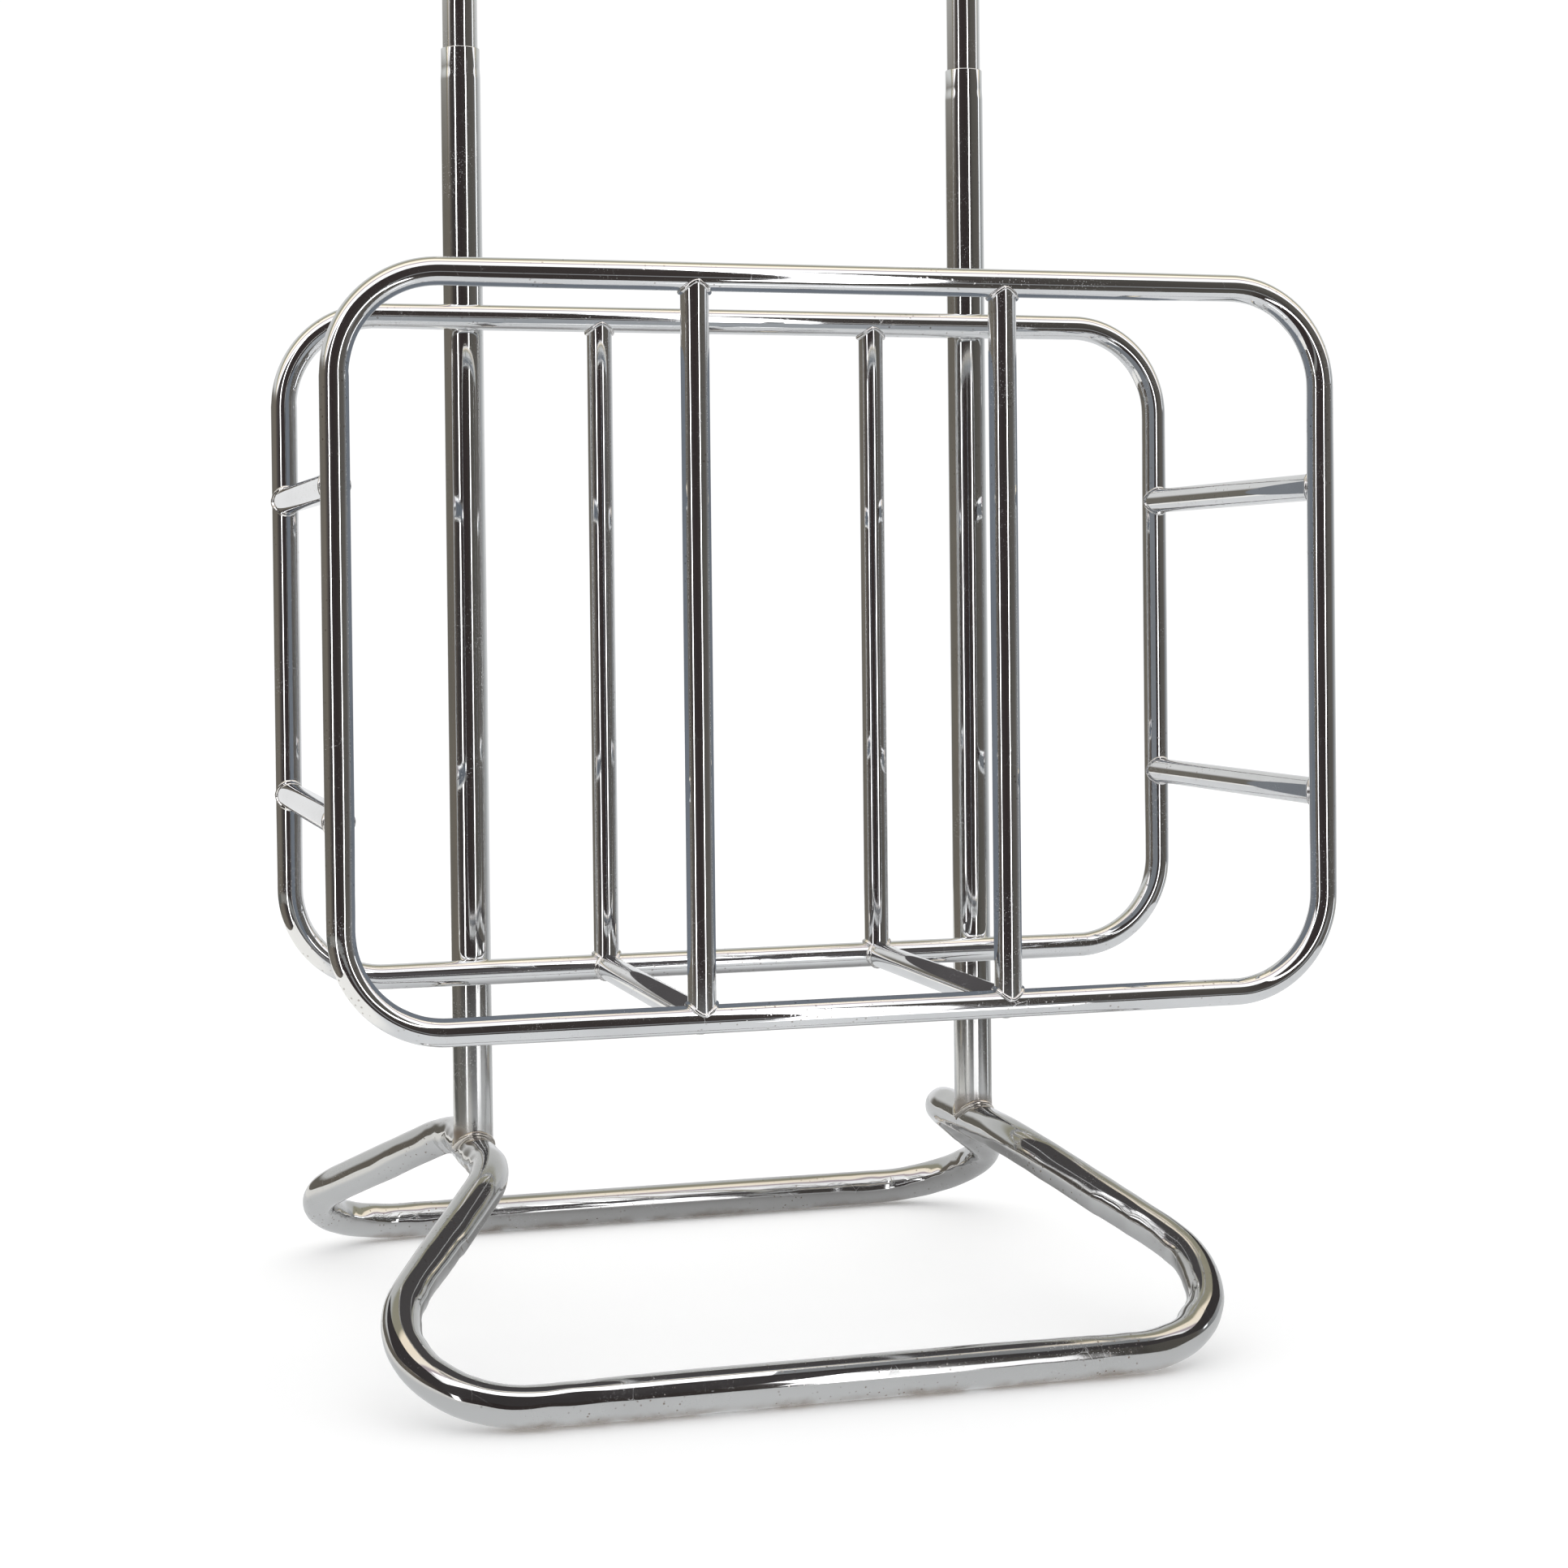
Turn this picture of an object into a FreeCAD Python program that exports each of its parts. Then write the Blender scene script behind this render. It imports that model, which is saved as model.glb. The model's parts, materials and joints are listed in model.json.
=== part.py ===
# Cabin bag sizer: an open cage of bent chrome tube, welded to the front of two
# posts that stand on a floor frame of bent tube.  A thinner tube slides in the
# neck of each post, to carry a sign.  Millimetres, +Z up, the front to -Y.
# The origin is on the floor, under the middle of the whole part.

import FreeCAD, Part
import math
import os

# ---------------------------------------------------------------- cage
CAGE_WIDTH = 576.0            # between the centre lines of the side tubes
CAGE_HEIGHT = 410.0           # between the centre lines of the rails
CAGE_DEPTH = 248.0            # between the planes of the two frames
CAGE_RAIL_Z = 223.0           # centre line of the bottom rails
CAGE_CORNER_RADIUS = 57.0     # on the centre line
CAGE_TUBE_OD = 16.0
CAGE_TUBE_WALL = 1.2
UPRIGHT_SPACING = 180.0       # between the two uprights of a frame
SIDE_BAR_SPACING = 180.0      # between the two bars of a side

# ---------------------------------------------------------------- posts
POST_SPACING = 336.0
POST_SHIFT = -5.0             # the posts' middle from the cage's middle, along X
POST_OD = 25.0
POST_WALL = 1.4
POST_TOP_Z = 804.0
NECK_LENGTH = 20.0            # the top of the post is drawn in over this length,
NECK_TAPER = 8.0              # the first part of it as a taper
NECK_WALL = 1.1
NECK_ROUND = 0.5              # rounded outer edge of the mouth

# ---------------------------------------------------------------- upper tubes
UPPER_WALL = 1.0
UPPER_OUT = 160.0             # length that stands out of the post
UPPER_IN = 260.0              # length that is inside the post
POST_CLEARANCE = 0.10         # radial, between the upper tube and the post
NECK_CLEARANCE = 0.05         # radial, between the upper tube and the neck

# ---------------------------------------------------------------- floor frame
BASE_TUBE_OD = 25.0
BASE_TUBE_WALL = 1.5
BASE_WIDTH = 592.0            # a floor rail, from corner point to corner point
BASE_DEPTH = 506.0            # between the centre lines of the floor rails
BASE_CORNER_RADIUS = 65.0
ARCH_Z = 107.0                # centre line of the raised tube under each post
ARCH_LENGTH = 154.0           # that tube, from corner point to corner point
ARCH_BEND_RADIUS = 75.0

# ---------------------------------------------------------------- joints
SEAM_GAP = 0.10               # between a shaped tube end and what it sits on
BAR_WELD_REACH = 1.8          # how far a bead reaches out round the bar
BAR_WELD_RISE = 1.5           # and up from the tube that carries the bar
FOOT_WELD_REACH = 2.4         # the same, round the foot of a post
FOOT_WELD_RISE = 2.0
PAD_WELD_RADIUS = 7.0         # weld between a rail and the post that it crosses

# ---------------------------------------------------------------- worked out
cage_r = CAGE_TUBE_OD / 2
post_r = POST_OD / 2
post_bore_r = post_r - POST_WALL
upper_r = post_bore_r - POST_CLEARANCE
neck_bore_r = upper_r + NECK_CLEARANCE
base_r = BASE_TUBE_OD / 2

# The cage, with its welds, and the floor frame reach out from the posts by these
# lengths.  The origin is half-way between the foremost and the rearmost point.
cage_reach = post_r + SEAM_GAP + 2 * cage_r + CAGE_DEPTH + BAR_WELD_RISE
base_reach = BASE_DEPTH / 2 + base_r
post_y = (max(cage_reach, base_reach) - base_reach) / 2

rear_y = post_y - post_r - SEAM_GAP - cage_r
front_y = rear_y - CAGE_DEPTH
top_rail_z = CAGE_RAIL_Z + CAGE_HEIGHT
middle_z = CAGE_RAIL_Z + CAGE_HEIGHT / 2

HANDS = {"left": -1, "right": 1}
LEVELS = {"lower": -1, "upper": 1}
FRAMES = {"front": front_y, "rear": rear_y}
RAILS = {"bottom": CAGE_RAIL_Z, "top": top_rail_z}


def point(x, y, z):
    return FreeCAD.Vector(x, y, z)


def post_x(hand):
    return POST_SHIFT + HANDS[hand] * POST_SPACING / 2


def upright_x(hand):
    return HANDS[hand] * UPRIGHT_SPACING / 2


def side_x(hand):
    return HANDS[hand] * CAGE_WIDTH / 2


def side_bar_z(level):
    return middle_z + LEVELS[level] * SIDE_BAR_SPACING / 2


# ---------------------------------------------------------------- tubes
def rod(start, end, radius):
    """A solid round rod between two points."""
    length = (end - start).Length
    return Part.makeCylinder(radius, length, start, end - start)


def tube(start, end, radius, wall):
    """A straight tube between two points."""
    return rod(start, end, radius).cut(rod(start, end, radius - wall))


def ring_face(centre, direction, radius, wall):
    """The cross-section of a tube."""
    outer = Part.Wire(Part.makeCircle(radius, centre, direction))
    inner = Part.Wire(Part.makeCircle(radius - wall, centre, direction))
    return Part.Face(outer).cut(Part.Face(inner))


def rounded(before, corner, after, bend_radius):
    """The bend at one corner of a path, as the values that draw it."""
    arriving = (corner - before).normalize()
    leaving = (after - corner).normalize()
    turn = arriving.getAngle(leaving)
    reach = bend_radius * math.tan(turn / 2)
    axis = arriving.cross(leaving).normalize()
    start = corner - arriving * reach
    return {
        "start": start,
        "arriving": arriving,
        "centre": start + axis.cross(arriving) * bend_radius,
        "axis": axis,
        "degrees": math.degrees(turn),
        "end": corner + leaving * reach,
    }


def bent_tube(bends, ends, radius, wall):
    """A tube through a list of bends, closed on itself if it has no ends."""
    pieces = []
    for turn in bends:
        section = ring_face(turn["start"], turn["arriving"], radius, wall)
        pieces.append(section.revolve(turn["centre"], turn["axis"], turn["degrees"]))
    if ends:
        starts = [ends[0]] + [turn["end"] for turn in bends]
        stops = [turn["start"] for turn in bends] + [ends[1]]
    else:
        starts = [turn["end"] for turn in bends]
        stops = [turn["start"] for turn in bends[1:] + bends[:1]]
    for start, stop in zip(starts, stops):
        pieces.append(tube(start, stop, radius, wall))
    solids = [solid for piece in pieces for solid in piece.Solids]
    return solids[0].multiFuse(solids[1:]).removeSplitter()


# ---------------------------------------------------------------- cage
def cage_frame(y):
    """One frame: a tube bent to a rounded rectangle, closed on itself."""
    corners = [
        point(side_x("left"), y, CAGE_RAIL_Z),
        point(side_x("right"), y, CAGE_RAIL_Z),
        point(side_x("right"), y, top_rail_z),
        point(side_x("left"), y, top_rail_z),
    ]
    bends = []
    for number, corner in enumerate(corners):
        before = corners[number - 1]
        after = corners[(number + 1) % len(corners)]
        bends.append(rounded(before, corner, after, CAGE_CORNER_RADIUS))
    return bent_tube(bends, None, cage_r, CAGE_TUBE_WALL)


def upright_ends(hand, y):
    """The centre points of the two rails that an upright joins."""
    x = upright_x(hand)
    return point(x, y, CAGE_RAIL_Z), point(x, y, top_rail_z)


def rail_rod(hand, y, z, radius):
    """A rail of a frame near one of its uprights, as a solid rod."""
    half = 2 * CAGE_TUBE_OD
    x = upright_x(hand)
    return rod(point(x - half, y, z), point(x + half, y, z), radius)


def side_rod(hand, y, z, radius):
    """A side tube of a frame near one of the side bars, as a solid rod."""
    half = 2 * CAGE_TUBE_OD
    x = side_x(hand)
    return rod(point(x, y, z - half), point(x, y, z + half), radius)


def upright(hand, y):
    """An upright, its ends shaped to the rails."""
    bottom, top = upright_ends(hand, y)
    bar = tube(bottom, top, cage_r, CAGE_TUBE_WALL)
    rails = [rail_rod(hand, y, z, cage_r + SEAM_GAP) for z in RAILS.values()]
    return bar.cut(rails)


def floor_bar(hand):
    """A bar under the bag, shaped to the bottom rails and clear of the uprights."""
    x = upright_x(hand)
    bar = tube(point(x, front_y, CAGE_RAIL_Z), point(x, rear_y, CAGE_RAIL_Z),
               cage_r, CAGE_TUBE_WALL)
    for y in FRAMES.values():
        seat = rail_rod(hand, y, CAGE_RAIL_Z, cage_r + SEAM_GAP)
        post = rod(*upright_ends(hand, y), cage_r + SEAM_GAP)
        bar = bar.cut([seat, post])
    return bar


def side_bar(hand, level):
    """A bar at the side of the bag, shaped to the two frames."""
    x = side_x(hand)
    z = side_bar_z(level)
    bar = tube(point(x, front_y, z), point(x, rear_y, z), cage_r, CAGE_TUBE_WALL)
    return bar.cut([side_rod(hand, y, z, cage_r + SEAM_GAP) for y in FRAMES.values()])


# ---------------------------------------------------------------- posts
def post(hand):
    """A post: its foot is shaped to the raised tube, its top is a narrow neck."""
    neck_r = neck_bore_r + NECK_WALL
    neck_z = POST_TOP_Z - NECK_LENGTH
    straight_z = neck_z + NECK_TAPER
    round_z = POST_TOP_Z - NECK_ROUND
    round_r = neck_r - NECK_ROUND
    diagonal = NECK_ROUND * math.sqrt(0.5)
    mouth = Part.Arc(point(neck_r, 0, round_z),
                     point(round_r + diagonal, 0, round_z + diagonal),
                     point(round_r, 0, POST_TOP_Z))
    outside = Part.makePolygon([
        point(post_r, 0, ARCH_Z),
        point(post_r, 0, neck_z),
        point(neck_r, 0, straight_z),
        point(neck_r, 0, round_z),
    ])
    inside = Part.makePolygon([
        point(round_r, 0, POST_TOP_Z),
        point(neck_bore_r, 0, POST_TOP_Z),
        point(neck_bore_r, 0, straight_z),
        point(post_bore_r, 0, neck_z),
        point(post_bore_r, 0, ARCH_Z),
        point(post_r, 0, ARCH_Z),
    ])
    outline = Part.Wire(outside.Edges + [mouth.toShape()] + inside.Edges)
    turned = Part.Face(outline).revolve(point(0, 0, 0), point(0, 0, 1), 360)
    turned.translate(point(post_x(hand), post_y, 0))
    return turned.cut(arch_rod(hand, base_r + SEAM_GAP))


def upper_tube(hand):
    """The tube that slides in the neck of a post, open at both ends."""
    x = post_x(hand)
    bottom = point(x, post_y, POST_TOP_Z - UPPER_IN)
    top = point(x, post_y, POST_TOP_Z + UPPER_OUT)
    return tube(bottom, top, upper_r, UPPER_WALL)


# ---------------------------------------------------------------- floor frame
def arch_rod(hand, radius):
    """The raised tube under a post, as a solid rod."""
    x = post_x(hand)
    half = ARCH_LENGTH / 2
    return rod(point(x, post_y - half, ARCH_Z), point(x, post_y + half, ARCH_Z), radius)


def base_bow(way):
    """Half of the floor frame: from one post down, along the floor, and up."""
    arch_y = post_y + way * ARCH_LENGTH / 2
    rail_y = post_y + way * BASE_DEPTH / 2
    left_end = point(post_x("left"), post_y, ARCH_Z)
    right_end = point(post_x("right"), post_y, ARCH_Z)
    path = [
        left_end,
        point(post_x("left"), arch_y, ARCH_Z),
        point(POST_SHIFT - BASE_WIDTH / 2, rail_y, base_r),
        point(POST_SHIFT + BASE_WIDTH / 2, rail_y, base_r),
        point(post_x("right"), arch_y, ARCH_Z),
        right_end,
    ]
    radii = [ARCH_BEND_RADIUS, BASE_CORNER_RADIUS, BASE_CORNER_RADIUS, ARCH_BEND_RADIUS]
    bends = []
    for before, corner, after, bend_radius in zip(path, path[1:], path[2:], radii):
        bends.append(rounded(before, corner, after, bend_radius))
    return bent_tube(bends, (left_end, right_end), base_r, BASE_TUBE_WALL)


# ---------------------------------------------------------------- welds
def bead(carrier, grown_carrier, bars, grown_bars):
    """The weld round one or more bars where they stand on a carrying tube."""
    lump = grown_bars[0]
    for grown in grown_bars[1:]:
        lump = lump.fuse(grown)
    lump = lump.common(grown_carrier)
    for solid in [carrier] + bars:
        lump = lump.cut(solid)
    return lump


def upright_weld(hand, frame, rail):
    """The weld at one end of an upright; at the bottom it also holds a floor bar."""
    y = FRAMES[frame]
    z = RAILS[rail]
    joint = point(upright_x(hand), y, z)
    reach = 2 * CAGE_TUBE_OD
    ways = [point(0, 0, -reach if rail == "top" else reach)]
    if rail == "bottom":
        ways.append(point(0, reach if frame == "front" else -reach, 0))
    return bead(
        rail_rod(hand, y, z, cage_r),
        rail_rod(hand, y, z, cage_r + BAR_WELD_RISE),
        [rod(joint, joint + way, cage_r) for way in ways],
        [rod(joint, joint + way, cage_r + BAR_WELD_REACH) for way in ways],
    )


def side_weld(hand, level, frame):
    """The weld at one end of a side bar."""
    z = side_bar_z(level)
    y = FRAMES[frame]
    joint = point(side_x(hand), y, z)
    reach = 2 * CAGE_TUBE_OD
    inward = point(0, reach if frame == "front" else -reach, 0)
    return bead(
        side_rod(hand, y, z, cage_r),
        side_rod(hand, y, z, cage_r + BAR_WELD_RISE),
        [rod(joint, joint + inward, cage_r)],
        [rod(joint, joint + inward, cage_r + BAR_WELD_REACH)],
    )


def foot_weld(hand):
    """The weld round the foot of a post."""
    foot = point(post_x(hand), post_y, ARCH_Z)
    above = foot + point(0, 0, 2 * POST_OD)
    return bead(
        arch_rod(hand, base_r),
        arch_rod(hand, base_r + FOOT_WELD_RISE),
        [rod(foot, above, post_r)],
        [rod(foot, above, post_r + FOOT_WELD_REACH)],
    )


def pad_weld(hand, rail):
    """The weld between a rail of the rear frame and the post that it crosses."""
    x = post_x(hand)
    z = RAILS[rail]
    pad = rod(point(x, rear_y, z), point(x, post_y, z), PAD_WELD_RADIUS)
    crossing_rail = rod(point(x - POST_OD, rear_y, z), point(x + POST_OD, rear_y, z), cage_r)
    crossing_post = rod(point(x, post_y, z - POST_OD), point(x, post_y, z + POST_OD), post_r)
    return pad.cut([crossing_rail, crossing_post])


# ---------------------------------------------------------------- nodes
nodes = {
    "base_front_bow": base_bow(-1),
    "base_rear_bow": base_bow(1),
    "cage_front_frame": cage_frame(front_y),
    "cage_rear_frame": cage_frame(rear_y),
}
for hand in HANDS:
    nodes["post_" + hand] = post(hand)
    nodes["upper_tube_" + hand] = upper_tube(hand)
    nodes["floor_bar_" + hand] = floor_bar(hand)
    nodes["weld_post_foot_" + hand] = foot_weld(hand)
    for frame, y in FRAMES.items():
        nodes[frame + "_upright_" + hand] = upright(hand, y)
        for rail in RAILS:
            nodes["weld_" + frame + "_" + rail + "_" + hand] = upright_weld(hand, frame, rail)
    for rail in RAILS:
        nodes["weld_post_" + rail + "_rail_" + hand] = pad_weld(hand, rail)
    for level in LEVELS:
        nodes["side_bar_" + level + "_" + hand] = side_bar(hand, level)
        for frame in FRAMES:
            name = "weld_side_" + level + "_" + frame + "_" + hand
            nodes[name] = side_weld(hand, level, frame)

os.makedirs("parts", exist_ok=True)
for name, shape in nodes.items():
    shape.exportStep("parts/" + name + ".step")
    print(name, len(shape.Solids), "solid", round(shape.Volume), "mm3", shape.isValid())
print(len(nodes), "nodes")
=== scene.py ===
# %% [markdown]
# # A cabin bag sizer in chrome tube
# Two posts stand on a floor frame of bent tube and carry an open cage, into which a cabin
# bag has to fit.  Everything is round tube, so the lesson is about three things: tube that is
# swept along a path, the weld where two tubes meet, and chrome, which shows the room more
# than it shows itself.

# %% The frame that the pieces fit
import json
import math

import bmesh
import bpy
from mathutils import Matrix, Quaternion, Vector, noise

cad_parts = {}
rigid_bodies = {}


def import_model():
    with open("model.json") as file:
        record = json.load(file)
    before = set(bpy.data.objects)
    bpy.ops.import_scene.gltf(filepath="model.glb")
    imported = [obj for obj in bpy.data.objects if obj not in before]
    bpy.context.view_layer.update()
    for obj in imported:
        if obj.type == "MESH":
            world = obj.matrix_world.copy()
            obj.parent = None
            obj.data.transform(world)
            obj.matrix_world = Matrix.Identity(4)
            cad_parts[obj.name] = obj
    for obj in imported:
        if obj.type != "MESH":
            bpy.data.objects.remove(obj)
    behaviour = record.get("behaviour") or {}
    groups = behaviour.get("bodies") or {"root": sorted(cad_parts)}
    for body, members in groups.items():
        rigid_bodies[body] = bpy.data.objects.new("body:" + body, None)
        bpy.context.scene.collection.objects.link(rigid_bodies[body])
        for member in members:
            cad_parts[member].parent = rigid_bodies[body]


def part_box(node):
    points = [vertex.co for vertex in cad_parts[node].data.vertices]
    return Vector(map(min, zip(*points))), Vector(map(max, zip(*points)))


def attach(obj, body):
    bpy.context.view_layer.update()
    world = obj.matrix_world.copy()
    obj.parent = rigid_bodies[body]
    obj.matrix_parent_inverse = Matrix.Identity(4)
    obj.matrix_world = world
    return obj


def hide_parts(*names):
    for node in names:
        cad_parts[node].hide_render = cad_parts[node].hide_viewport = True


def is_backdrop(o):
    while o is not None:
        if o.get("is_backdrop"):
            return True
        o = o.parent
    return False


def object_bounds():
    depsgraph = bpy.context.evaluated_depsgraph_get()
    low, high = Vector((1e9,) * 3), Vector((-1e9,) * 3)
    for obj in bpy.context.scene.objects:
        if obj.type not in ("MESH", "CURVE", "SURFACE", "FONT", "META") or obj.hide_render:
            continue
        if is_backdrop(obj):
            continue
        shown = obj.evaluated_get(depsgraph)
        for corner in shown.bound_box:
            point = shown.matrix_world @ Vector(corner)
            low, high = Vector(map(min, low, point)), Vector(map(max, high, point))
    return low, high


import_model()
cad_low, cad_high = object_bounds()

# %% [markdown]
# ## Sizes
# A tube is known by its centre line and its radius.  The box round a straight tube gives
# both: the radius is half of its thin side, and the centre line runs through its middle.
# What a box can't tell, such as how wide a bend is, is a named size here.

# %% Reading the box of a node
HANDS = {"left": -1, "right": 1}
LEVELS = ("lower", "upper")
MM = 0.001


def low_high(node):
    """The lowest and the highest corner of a node."""
    low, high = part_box(node)
    return Vector(low), Vector(high)


def centre(node):
    """The middle of a node's box."""
    low, high = low_high(node)
    return (low + high) / 2


print("cage front frame is centred on", [round(v, 3) for v in centre("cage_front_frame")])

# %% Sizes of the tubes
cage_low, cage_high = low_high("cage_front_frame")
CAGE_R = (cage_high.y - cage_low.y) / 2
CAGE_BEND = 57 * MM
CAGE_WALL = 1.2 * MM
SIDE_X = cage_high.x - CAGE_R
RAIL_Z = {"bottom": cage_low.z + CAGE_R, "top": cage_high.z - CAGE_R}
FRAME_Y = {"front": centre("cage_front_frame").y, "rear": centre("cage_rear_frame").y}

post_low, post_high = low_high("post_left")
POST_R = (post_high.y - post_low.y) / 2
POST_WALL = 1.4 * MM
POST_TOP = post_high.z
POST_Y = centre("post_left").y
POST_X = {hand: centre("post_" + hand).x for hand in HANDS}
POST_MIDDLE = (POST_X["left"] + POST_X["right"]) / 2

upper_low, upper_high = low_high("upper_tube_left")
UPPER_R = (upper_high.x - upper_low.x) / 2
UPPER_WALL = 1.0 * MM

bow_low, bow_high = low_high("base_front_bow")
BASE_R = POST_R
ARCH_Z = bow_high.z - BASE_R
ARCH_HALF = 77 * MM
ARCH_BEND = 75 * MM
BASE_BEND = 65 * MM
BASE_CORNER_X = 296 * MM
BASE_RAIL_REACH = POST_Y - (bow_low.y + BASE_R)
print("cage tube", round(2 * CAGE_R / MM, 1), "mm, post", round(2 * POST_R / MM, 1), "mm")
print("arches of the floor frame at", round(ARCH_Z, 4), "m")

# %% [markdown]
# ## The camera
# The camera stands at the front, a little to the left and at half of the part's height.  The
# picture is shifted and hardly tilted, as with a view camera, so that the posts stay upright.

# %% Camera
YAW = math.radians(16.384)
PITCH = math.radians(-0.869)
ROLL = math.radians(-0.597)
EYE = Vector((POST_MIDDLE - 0.4740, POST_Y - 1.8192, 0.4540))
FOCAL_LENGTH = 66.47
SHIFT_X = -0.0194
SHIFT_Y = -0.0891

ahead = Vector((math.sin(YAW) * math.cos(PITCH), math.cos(YAW) * math.cos(PITCH), math.sin(PITCH)))
level_right = Vector((math.cos(YAW), -math.sin(YAW), 0))
level_up = level_right.cross(ahead)
right = level_right * math.cos(ROLL) + level_up * math.sin(ROLL)
up = level_up * math.cos(ROLL) - level_right * math.sin(ROLL)

camera_data = bpy.data.cameras.new("studio_camera")
camera_data.lens = FOCAL_LENGTH
camera_data.shift_x = SHIFT_X
camera_data.shift_y = SHIFT_Y
camera_data.clip_start = 0.05
camera_data.clip_end = 60.0
camera = bpy.data.objects.new("studio_camera", camera_data)
bpy.context.scene.collection.objects.link(camera)
turned = Matrix((right, up, -ahead)).transposed()
camera.matrix_world = Matrix.Translation(EYE) @ turned.to_4x4()
bpy.context.scene.camera = camera
print("camera at", [round(v, 3) for v in EYE])

# %% [markdown]
# ## A path with round corners
# A bent tube is straight runs joined by arcs.  A list of corner points and one bend radius
# for each is all that a bending machine needs, and all that this function takes.  It walks
# the path and drops a station wherever a ring of the skin is wanted: where it stands, which
# way it goes, a side vector that never twists, and how much a bend has worked the steel.

# %% One station, and the arc at one corner
ARC_STEP = math.radians(3)
RUN_STEP = 4 * MM


class Station:
    """One place on a path, with what the skin needs to know there."""

    def __init__(self, point, along, side, inward, bend, length):
        self.point = point
        self.along = along
        self.side = side
        self.inward = inward
        self.bend = bend
        self.length = length


def corner_arc(before, corner, after, radius):
    """Start, centre, axis and angle of the arc that rounds a corner."""
    arriving = (corner - before).normalized()
    leaving = (after - corner).normalized()
    angle = arriving.angle(leaving)
    axis = arriving.cross(leaving).normalized()
    start = corner - arriving * radius * math.tan(angle / 2)
    return start, start + axis.cross(arriving) * radius, axis, angle


print("a station every", round(math.degrees(ARC_STEP)), "degrees or", round(RUN_STEP / MM), "mm")

# %% Walking the path
def walk(points, radii, closed):
    """The stations along a path of corner points, each with a bend radius."""
    count = len(points)
    turning = range(count) if closed else range(1, count - 1)
    arcs = [corner_arc(points[i - 1], points[i], points[(i + 1) % count], radii[i]) for i in turning]
    place = points[0]
    if closed:
        start, hub, axis, angle = arcs[-1]
        place = hub + Quaternion(axis, angle) @ (start - hub)
    along = (arcs[0][0] - place).normalized()
    side = along.cross(Vector((0, 1, 0)) if abs(along.y) < 0.9 else Vector((1, 0, 0))).normalized()
    stations = []
    length = 0.0

    def run_to(end):
        nonlocal place, length
        distance = (end - place).length
        steps = max(1, round(distance / RUN_STEP))
        for step in range(steps):
            point = place.lerp(end, step / steps)
            stations.append(Station(point, along, side, Vector(), 0.0, length + distance * step / steps))
        place = end
        length += distance

    for start, hub, axis, angle in arcs:
        run_to(start)
        radius = (start - hub).length
        steps = max(4, round(angle / ARC_STEP))
        first_along = along.copy()
        first_side = side.copy()
        for step in range(steps):
            part = step / steps
            spin = Quaternion(axis, angle * part)
            point = hub + spin @ (start - hub)
            stations.append(Station(point, spin @ first_along, spin @ first_side,
                                    (hub - point).normalized(), 1.0, length + radius * angle * part))
        spin = Quaternion(axis, angle)
        place = hub + spin @ (start - hub)
        along = spin @ first_along
        side = spin @ first_side
        length += radius * angle
    if not closed:
        run_to(points[-1])
        stations.append(Station(points[-1], along, side, Vector(), 0.0, length))
    return stations


trial_points = [Vector((0, 0, 0)), Vector((0.1, 0, 0)), Vector((0.1, 0.1, 0))]
trial = walk(trial_points, [0, 30 * MM, 0], closed=False)
print("a trial path with one corner has", len(trial), "stations")

# %% Bends that fade out
FADE_PEAK = 0.99


def spread_bends(stations, reach):
    """Lets each bend fade out along the straight tube on both sides of it."""
    bent = [station for station in stations if station.bend == 1.0]
    for station in stations:
        if station.bend < 1.0 and bent:
            nearest = min(bent, key=lambda other: abs(other.length - station.length))
            fade = max(0.0, 1 - abs(nearest.length - station.length) / reach)
            station.inward = nearest.inward
            station.bend = FADE_PEAK * fade * fade * (3 - 2 * fade)
    return stations


faded = spread_bends(trial, 20 * MM)
print("bent stations of the trial path", sum(station.bend > 0 for station in faded))

# %% [markdown]
# ## A skin over the stations
# Each station gets a ring of points, and the rings are joined by four-sided faces.  Chrome
# shows every facet, so a ring has many points and all faces are smooth.  The edges where a
# tube ends are marked as crisp.  Without that mark the shading would lean over the edge, and
# the mirror would seem to curl there.

# %% Rings joined into a mesh
RING = 64


def skin(name, rings, closed, capped=False, crisp=()):
    """A mesh object from rings of points; closed joins the last ring to the first.

    The numbers in crisp pick the rings whose edges stay sharp.
    """
    sheet = bmesh.new()
    rows = [[sheet.verts.new(point) for point in ring] for ring in rings]
    pairs = list(zip(rows, rows[1:]))
    if closed:
        pairs.append((rows[-1], rows[0]))
    for here, there in pairs:
        for i in range(len(here)):
            j = (i + 1) % len(here)
            sheet.faces.new((here[i], here[j], there[j], there[i])).smooth = True
    if capped:
        for row in (rows[0][::-1], rows[-1]):
            sheet.faces.new(row)
        crisp = (0, -1)
    for row in [rows[index] for index in crisp]:
        for here, there in zip(row, row[1:] + row[:1]):
            sheet.edges.get((here, there)).smooth = False
    bmesh.ops.recalc_face_normals(sheet, faces=sheet.faces)
    mesh = bpy.data.meshes.new(name)
    sheet.to_mesh(mesh)
    sheet.free()
    piece = bpy.data.objects.new(name, mesh)
    bpy.context.scene.collection.objects.link(piece)
    return piece


made = {}


def stands_for(piece, body, slot, *nodes):
    """Lets a piece ride on its body in place of the plain nodes, with their finish."""
    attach(piece, body)
    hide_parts(*nodes)
    made[piece.name] = slot
    return piece


print("points in a ring", RING)

# %% [markdown]
# ## Bent tube
# A tube that is bent cold never stays quite round.  It flattens a little in the plane of the
# bend, and the steel on the inside, which has nowhere to go, gathers in small waves.  The
# waves are shallow, but a mirror shows them from across the room.

# %% The bent tube
BEND_REACH = 4.0  # how far a bend is felt along the straight tube, in diameters
LONG_WAVE = 1.3  # these three say how fast the waves change, per diameter of length
SHORT_WAVE = 3.1
ROUND_WAVE = 1.6
DRAW_MARK = 0.02 * MM  # the slow unevenness of all drawn tube


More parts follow.
